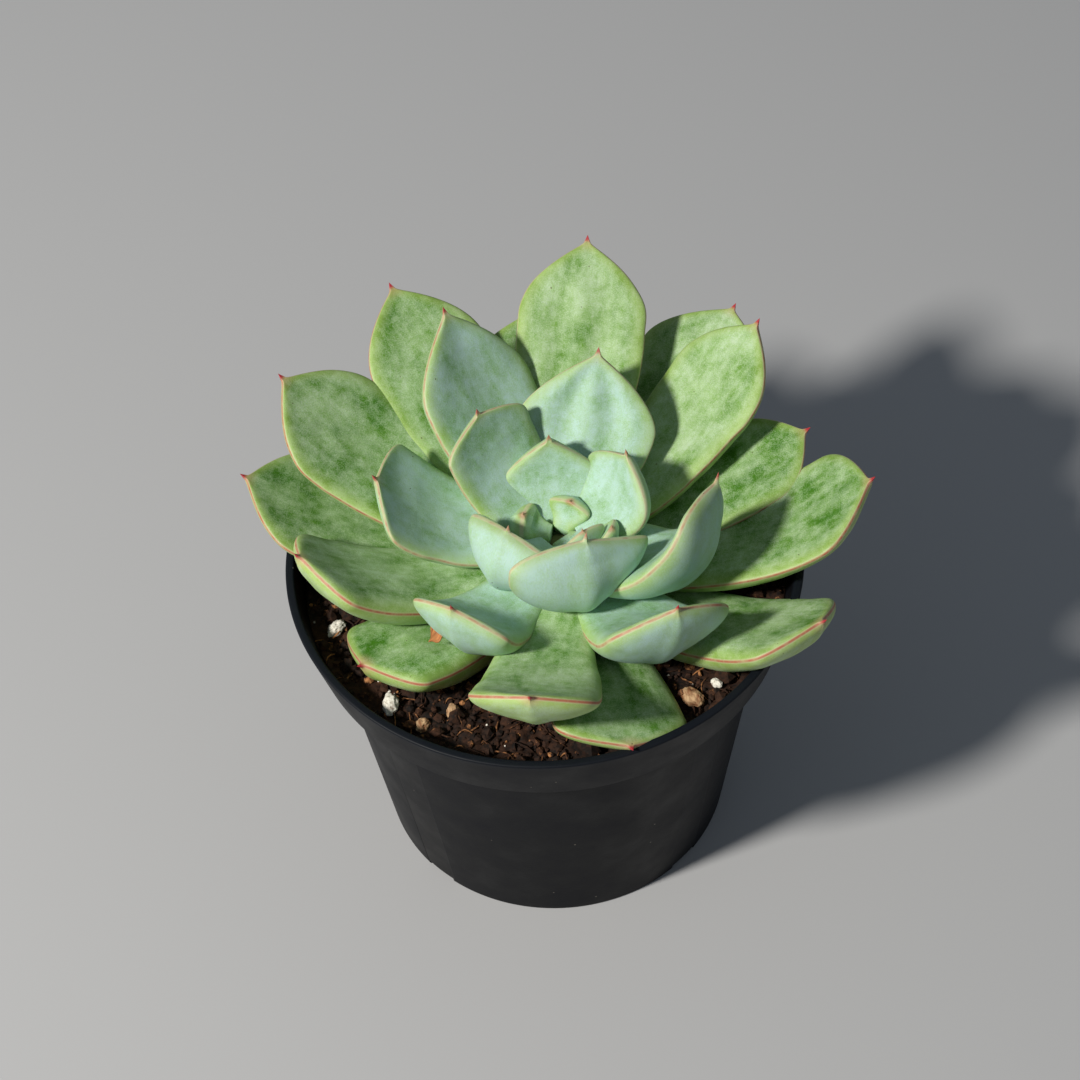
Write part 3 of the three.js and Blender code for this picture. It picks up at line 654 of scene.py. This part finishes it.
def leaf_blade(leaf, seed):
    """Points of a leaf, ring after ring from foot to tip, and what its material reads.

    The midrib is a quadratic curve from the stem to the tip. At each place on it the half width rises as a
    sine to the shoulder and falls off as a power to the tip, and a small cone, the spine, is added by the
    cube root of the sum of cubes. The section is a loop over an angle, whose cosine is the share of the half
    width. The trough is a power of that share. The upper half stands over it by the brow, and the lower half
    drops below it by the keel.
    """
    turn = np.radians(leaf["azimuth"])
    outward = np.array([np.cos(turn), np.sin(turn), 0])
    sideways = np.array([-np.sin(turn), np.cos(turn), 0])
    axis = np.array([STEM_X, STEM_Y, SOIL_LEVEL])
    foot = axis + outward * leaf["root"] + [0, 0, leaf["foot"]]
    tip = axis + outward * leaf["reach"] + [0, 0, leaf["rise"]]
    chord = tip - foot
    length = np.linalg.norm(chord)
    lifted = np.cross(chord, sideways)
    lifted /= np.linalg.norm(lifted)
    middle = foot + chord / 2 - 2 * leaf["bow"] * length * lifted + 2 * leaf["sweep"] * length * sideways

    along = 1 - (1 - np.linspace(0, 1, LEAF_RINGS + 1)[:-1, None]) ** 1.25
    rib = (1 - along) ** 2 * foot + 2 * along * (1 - along) * middle + along ** 2 * tip
    ahead = (1 - along) * (middle - foot) + along * (tip - middle)
    ahead /= np.linalg.norm(ahead, axis=-1, keepdims=True)
    across = sideways - (ahead @ sideways)[:, None] * ahead
    across /= np.linalg.norm(across, axis=-1, keepdims=True)
    upper = np.cross(ahead, across)
    roll = np.radians(leaf["roll"]) * smooth(along / 0.6)
    level_across = across
    across = level_across * np.cos(roll) + upper * np.sin(roll)
    upper = upper * np.cos(roll) - level_across * np.sin(roll)

    spine_start = 1 - leaf["spine"] / length
    place = np.clip(along / spine_start, 0, 1)
    neck, shoulder = leaf["neck"], leaf["widest"]
    rising = neck + (1 - neck) * np.sin(np.pi / 2 * np.clip(place / shoulder, 0, 1)) ** 1.5
    falling = 1 - np.clip((place - shoulder) / (1 - shoulder), 0, 1) ** leaf["blunt"]
    half = leaf["width"] / 2 * np.where(place < shoulder, rising, falling)
    body = 0.72 + 0.28 * np.sin(np.pi * np.clip(place / 0.9, 0, 1))
    closing = np.sqrt(np.clip(1 - np.clip((place - 0.62) / 0.38, 0, 1) ** 2.2, 0, 1))
    thick = leaf["thick"] * body * closing
    spine = SPINE_RADIUS * min(1, leaf["spine"] / SPINE_LENGTH)
    spine = spine * np.clip((1 - along) / (1 - spine_start), 0, 1.3)
    spine = spine * smooth((along - spine_start + 0.06) / 0.06)
    half = np.cbrt(half ** 3 + spine ** 3)
    thick = np.cbrt(thick ** 3 + (1.5 * spine) ** 3)

    angle = -2 * np.pi * np.arange(LEAF_SIDES)[None] / LEAF_SIDES
    share = np.cos(angle)
    on_top = np.sin(angle) > 0
    trough = leaf["cup"] * half * np.abs(share) ** 2.2 * smooth(place * 1.5)
    brow = np.minimum(leaf["brow"], 0.3 * thick) * np.clip(1 - np.abs(share) ** 6, 0, 1) ** 0.5
    ridge = 1 + 0.12 * np.exp(-(share / 0.18) ** 2)
    keel = (thick - brow) * ridge * np.clip(1 - share ** 2, 0, 1) ** 0.62
    height = np.where(on_top, trough + brow, trough - keel)

    # Unevenness of a grown blade: soft swells on both faces, a wavy margin, and on some leaves long folds.
    face = np.where(on_top, 0, 50) + 0 * along
    flat = np.stack([share * half, along * length + 0 * share, face], -1)
    full = np.abs(np.sin(angle)) ** 0.5 * smooth((1 - along) / 0.12)
    height = height + full * (0.28 * noise(flat, 9, seed) + 0.12 * noise(flat, 3.5, seed + 40))
    drift = 0.06 * noise(flat, 12, seed + 60)
    folds = np.cos(2 * np.pi * (share * 1.35 + drift)) * np.exp(-(share / 0.75) ** 4)
    folded = full * on_top * smooth((place - 0.3) / 0.3) * smooth((0.95 - place) / 0.2)
    height = height + leaf["fold"] * FOLD_DEPTH * folds * folded
    margins = flat * [0, 1, 0] + [7, 0, 0] * np.sign(share)[..., None]
    wave = 1 + 0.022 * noise(margins, 5, seed + 80) * smooth((1 - along) / 0.2)
    aside = (half * share * wave)[..., None] * across[:, None]
    points = rib[:, None] + aside + height[..., None] * upper[:, None]
    foot_pole = rib[0] - 0.4 * thick[0] * upper[0]
    points = np.concatenate([points.reshape(-1, 3), [foot_pole, tip]])

    # What the material reads: a flat map of the blade, set apart from the next leaf's, and the distances to
    # the margin and to the tip.
    loops = points[:-2].reshape(LEAF_RINGS, LEAF_SIDES, 3)
    gaps = np.linalg.norm(np.roll(loops, -1, 1) - loops, axis=-1)
    run = np.concatenate([np.zeros((LEAF_RINGS, 1)), np.cumsum(gaps, 1)[:, :-1]], 1)
    half_way = run[:, LEAF_SIDES // 2, None]
    to_margin = np.minimum(np.minimum(run, np.abs(run - half_way)), gaps.sum(1, keepdims=True) - run)
    to_tip = np.linalg.norm(loops - tip, axis=-1)
    side = np.sin(angle) + 0 * along
    skin = np.stack([share * half, along * length + 0 * share, side * 3 + LEAF_APART * seed], -1)
    edge = np.stack([to_margin, to_tip, side], -1)
    poles_skin = [[0, 0, LEAF_APART * seed], [0, length, LEAF_APART * seed]]
    poles_edge = [[5, length, 0], [0, 0, 0]]
    return (points, np.concatenate([skin.reshape(-1, 3), poles_skin]),
            np.concatenate([edge.reshape(-1, 3), poles_edge]))


def swayed(tree, value, pattern, amount, clamp=False):
    """A value raised where a noise pattern is high and lowered where it is low, by up to `amount`."""
    sway = add(tree, "ShaderNodeMapRange", {}, {0: pattern, 1: 0.3, 2: 0.7, 3: -amount, 4: amount})
    return add(tree, "ShaderNodeMath", {"operation": "ADD", "use_clamp": clamp}, {0: value, 1: sway})


def bloomed_leaf(name, deep, light, bloom_colour, under):
    """Echeveria skin: green flesh under a chalky wax bloom.

    The bloom lies in clouds and mottling and is rubbed thin at the edge, where a yellow-green band, a pale
    rim, a thin red line and the red tip show.
    """
    material, tree, surface = new_material(name)
    skin = add(tree, "ShaderNodeAttribute", {"attribute_name": "skin"}, {}, "Vector")
    edge = add(tree, "ShaderNodeAttribute", {"attribute_name": "edge"}, {}, "Vector")
    tone = add(tree, "ShaderNodeAttribute", {"attribute_name": "tone"}, {}, "Vector")
    margin = add(tree, "ShaderNodeSeparateXYZ", {}, {0: edge}, 0)
    tip = add(tree, "ShaderNodeSeparateXYZ", {}, {0: edge}, 1)
    side = add(tree, "ShaderNodeSeparateXYZ", {}, {0: edge}, 2)
    bloom = add(tree, "ShaderNodeSeparateXYZ", {}, {0: tone}, 0)
    green = add(tree, "ShaderNodeSeparateXYZ", {}, {0: tone}, 1)
    blush = add(tree, "ShaderNodeSeparateXYZ", {}, {0: tone}, 2)
    # Clouds 6 mm across, mottling 2 mm across, faint streaks 1 mm wide and a wax grain of 0.25 mm.
    cloudy = add(tree, "ShaderNodeMapping", {}, {0: skin, 3: (1.0, 0.6, 1.0)})
    clouds = add(tree, "ShaderNodeTexNoise", {},
                 {"Vector": cloudy, "Scale": 0.17, "Detail": 4.0, "Roughness": 0.55})
    mottling = add(tree, "ShaderNodeTexNoise", {},
                   {"Vector": skin, "Scale": 0.5, "Detail": 5.0, "Roughness": 0.6})
    long_way = add(tree, "ShaderNodeMapping", {}, {0: skin, 3: (1.0, 0.2, 1.0)})
    streaks = add(tree, "ShaderNodeTexNoise", {}, {"Vector": long_way, "Scale": 0.9, "Detail": 4.0})
    grain = add(tree, "ShaderNodeTexNoise", {}, {"Vector": skin, "Scale": 4.0, "Detail": 2.0})
    # Flesh: deep green to yellow green.
    depth = swayed(tree, green, clouds, -0.3, clamp=True)
    flesh = add(tree, "ShaderNodeMix", {"data_type": "RGBA"},
                {0: depth, 6: linear(light), 7: linear(deep)}, 2)
    underside = add(tree, "ShaderNodeMapRange", {}, {0: side, 1: 0.1, 2: -0.5, 3: 0.0, 4: 0.7})
    flesh = add(tree, "ShaderNodeMix", {"data_type": "RGBA"}, {0: underside, 6: flesh, 7: linear(under)}, 2)
    # Bloom cover: rubbed thin near the margin.
    cover = swayed(tree, bloom, clouds, 0.3)
    cover = swayed(tree, cover, mottling, 0.24)
    cover = swayed(tree, cover, streaks, 0.1)
    cover = swayed(tree, cover, grain, 0.2)
    thin_edge = add(tree, "ShaderNodeMapRange", {}, {0: margin, 1: 0.2, 2: 2.6, 3: -0.25, 4: 0.0})
    cover = add(tree, "ShaderNodeMath", {"operation": "ADD", "use_clamp": True}, {0: cover, 1: thin_edge})
    colour = add(tree, "ShaderNodeMix", {"data_type": "RGBA"},
                 {0: cover, 6: flesh, 7: linear(bloom_colour)}, 2)
    # Yellow-green band inside the margin, pale rim, thin red line and red tip.
    smoothly = {"interpolation_type": "SMOOTHSTEP"}
    band = add(tree, "ShaderNodeMapRange", smoothly, {0: margin, 1: 4.4, 2: 0.4, 3: 0.0, 4: 0.5})
    colour = add(tree, "ShaderNodeMix", {"data_type": "RGBA"}, {0: band, 6: colour, 7: linear("#a9c06c")}, 2)
    rim = add(tree, "ShaderNodeMapRange", smoothly, {0: margin, 1: 0.7, 2: 0.2, 3: 0.0, 4: 0.5})
    colour = add(tree, "ShaderNodeMix", {"data_type": "RGBA"}, {0: rim, 6: colour, 7: linear("#d9cbb0")}, 2)
    flushed = swayed(tree, blush, mottling, 0.45, clamp=True)
    line = add(tree, "ShaderNodeMapRange", smoothly, {0: margin, 1: 0.42, 2: 0.1, 3: 0.0, 4: 0.9})
    red = add(tree, "ShaderNodeMath", {"operation": "MULTIPLY"}, {0: line, 1: flushed})
    colour = add(tree, "ShaderNodeMix", {"data_type": "RGBA"}, {0: red, 6: colour, 7: linear("#b0604a")}, 2)
    near_tip = add(tree, "ShaderNodeMapRange", smoothly, {0: tip, 1: 4.5, 2: 1.0, 3: 0.0, 4: 0.55})
    pink = add(tree, "ShaderNodeMath", {"operation": "MULTIPLY"}, {0: near_tip, 1: blush})
    colour = add(tree, "ShaderNodeMix", {"data_type": "RGBA"}, {0: pink, 6: colour, 7: linear("#c79a80")}, 2)
    spine_end = add(tree, "ShaderNodeMapRange", smoothly, {0: tip, 1: 1.9, 2: 0.8})
    ripe = add(tree, "ShaderNodeMath", {"operation": "ADD", "use_clamp": True}, {0: blush, 1: 0.45})
    point = add(tree, "ShaderNodeMath", {"operation": "MULTIPLY"}, {0: spine_end, 1: ripe})
    colour = add(tree, "ShaderNodeMix", {"data_type": "RGBA"},
                 {0: point, 6: colour, 7: linear("#ad323c")}, 2)
    # Corky specks a quarter of a millimetre across, here and there.
    cells = add(tree, "ShaderNodeTexVoronoi", {}, {"Vector": skin, "Scale": 0.42})
    small = add(tree, "ShaderNodeMapRange", {}, {0: cells, 1: 0.075, 2: 0.045})
    chosen = add(tree, "ShaderNodeMapRange", {}, {0: clouds, 1: 0.56, 2: 0.6})
    corky = add(tree, "ShaderNodeMath", {"operation": "MULTIPLY"}, {0: small, 1: chosen})
    colour = add(tree, "ShaderNodeMix", {"data_type": "RGBA"},
                 {0: corky, 6: colour, 7: linear("#5b4a36")}, 2)
    tree.links.new(colour, surface.inputs["Base Color"])
    chalky = add(tree, "ShaderNodeMapRange", {}, {0: cover, 1: 0.0, 2: 1.0, 3: 0.42, 4: 0.66})
    tree.links.new(chalky, surface.inputs["Roughness"])
    surface.inputs["IOR"].default_value = 1.42
    surface.inputs["Subsurface Weight"].default_value = 0.15
    surface.inputs["Subsurface Radius"].default_value = (0.7, 1.0, 0.35)
    surface.inputs["Subsurface Scale"].default_value = 0.0015
    relief = add(tree, "ShaderNodeMath", {"operation": "ADD"}, {0: grain, 1: mottling})
    bump = add(tree, "ShaderNodeBump", {}, {"Strength": 0.35, "Distance": 0.00012, "Height": relief})
    tree.links.new(bump, surface.inputs["Normal"])
    return material


outer_skin = bloomed_leaf("outer_leaf_skin", "#42751b", "#86b43a", "#b7cfa9", "#aec76c")
inner_skin = bloomed_leaf("inner_leaf_skin", "#5c8f4a", "#94be6c", "#b0cfc6", "#a2c492")
leaf_quads, leaf_fans = grid_faces(LEAF_RINGS, LEAF_SIDES)
for number, traits in enumerate(LEAVES, 1):
    leaf = {**ORDINARY, "foot": min(HIGHEST_FOOT, LEAF_FOOT + LEAF_STEP * (number - 1)), **traits}
    points, skin, edge = leaf_blade(leaf, number)
    material, slot = (outer_skin, "outer_leaf") if number <= OUTER_LEAVES else (inner_skin, "inner_leaf")
    blade = mesh_piece(f"leaf_{number:02d}_blade", points, leaf_quads, leaf_fans, material,
                       [f"leaf_{number:02d}"])
    store(blade, "skin", skin)
    store(blade, "edge", edge)
    store(blade, "tone", np.tile([leaf["bloom"], leaf["green"], leaf["blush"]], (len(points), 1)))


# ---------------------------------------------------------------------------------------------------------
# Dried scrap: a shrivelled bit of an old leaf, thin and papery, caught between three living ones. It is a
# small blade, crumpled by noise.
SCRAP = dict(azimuth=222, root=26, reach=36, foot=11, rise=12, width=3, thick=1.6, bow=-0.1, spine=0.6)
CRUMPLE_DEPTH = 0.7
CRUMPLE_WIDTH = 2.2


def withered_leaf():
    """Dead leaf tissue: orange-brown and papery, darker along the shrunken veins."""
    material, tree, surface = new_material("withered_leaf")
    skin = add(tree, "ShaderNodeAttribute", {"attribute_name": "skin"}, {}, "Vector")
    long_way = add(tree, "ShaderNodeMapping", {}, {0: skin, 3: (1.0, 0.15, 1.0)})
    veins = add(tree, "ShaderNodeTexNoise", {}, {"Vector": long_way, "Scale": 1.3, "Detail": 5.0})
    spread = add(tree, "ShaderNodeMapRange", {}, {0: veins, 1: 0.32, 2: 0.7})
    colour = add(tree, "ShaderNodeMix", {"data_type": "RGBA"},
                 {0: spread, 6: linear("#7c4420"), 7: linear("#cf8a4e")}, 2)
    tree.links.new(colour, surface.inputs["Base Color"])
    surface.inputs["Roughness"].default_value = 0.7
    bump = add(tree, "ShaderNodeBump", {}, {"Strength": 0.6, "Distance": 0.0004, "Height": veins})
    tree.links.new(bump, surface.inputs["Normal"])
    return material


points, skin, _ = leaf_blade({**ORDINARY, **SCRAP}, seed=77)
points = points + CRUMPLE_DEPTH * np.stack([noise(points, CRUMPLE_WIDTH, seed) for seed in (91, 92, 93)], -1)
withered = mesh_piece("withered_scrap", points, leaf_quads, leaf_fans, withered_leaf(),
                      ["dried_leaf"])
store(withered, "skin", skin)


# ---------------------------------------------------------------------------------------------------------
# Floor and light: a plain pale floor, one soft round lamp high at the front left for the sun, and a dim,
# slightly blue sky that fills the shadows.
FLOOR_HALF = 2.0
LAMP_DISTANCE = 1.3
LAMP_WIDTH = 0.16
SUN_DIRECTION = Vector((-80, -52, 90)).normalized()


def pale_floor():
    """Smooth pale grey floor paint, matt."""
    material, _, surface = new_material("pale_floor")
    surface.inputs["Base Color"].default_value = linear("#b0b1b4")
    surface.inputs["Roughness"].default_value = 0.8
    return material


floor_mesh = bpy.data.meshes.new("floor")
floor_corners = [(x * FLOOR_HALF, y * FLOOR_HALF, 0) for x, y in ((-1, -1), (1, -1), (1, 1), (-1, 1))]
floor_mesh.from_pydata(floor_corners, [], [(0, 1, 2, 3)])
floor_mesh.materials.append(pale_floor())
floor = bpy.data.objects.new("floor", floor_mesh)
bpy.context.scene.collection.objects.link(floor)

sun = bpy.data.lights.new("soft_sun", "AREA")
sun.shape = "DISK"
sun.size = LAMP_WIDTH
sun.energy = 21
sun.color = (1.0, 0.96, 0.88)
lamp = bpy.data.objects.new("soft_sun", sun)
lamp.location = SUN_DIRECTION * LAMP_DISTANCE + Vector((0, 0, 0.08))
lamp.rotation_euler = SUN_DIRECTION.to_track_quat("Z", "Y").to_euler()
bpy.context.scene.collection.objects.link(lamp)

world = bpy.data.worlds.new("sky")
world.use_nodes = True
world.node_tree.nodes["Background"].inputs["Color"].default_value = (0.78, 0.88, 1.0, 1)
world.node_tree.nodes["Background"].inputs["Strength"].default_value = 0.18
bpy.context.scene.world = world
bpy.context.scene.view_settings.view_transform = "Standard"
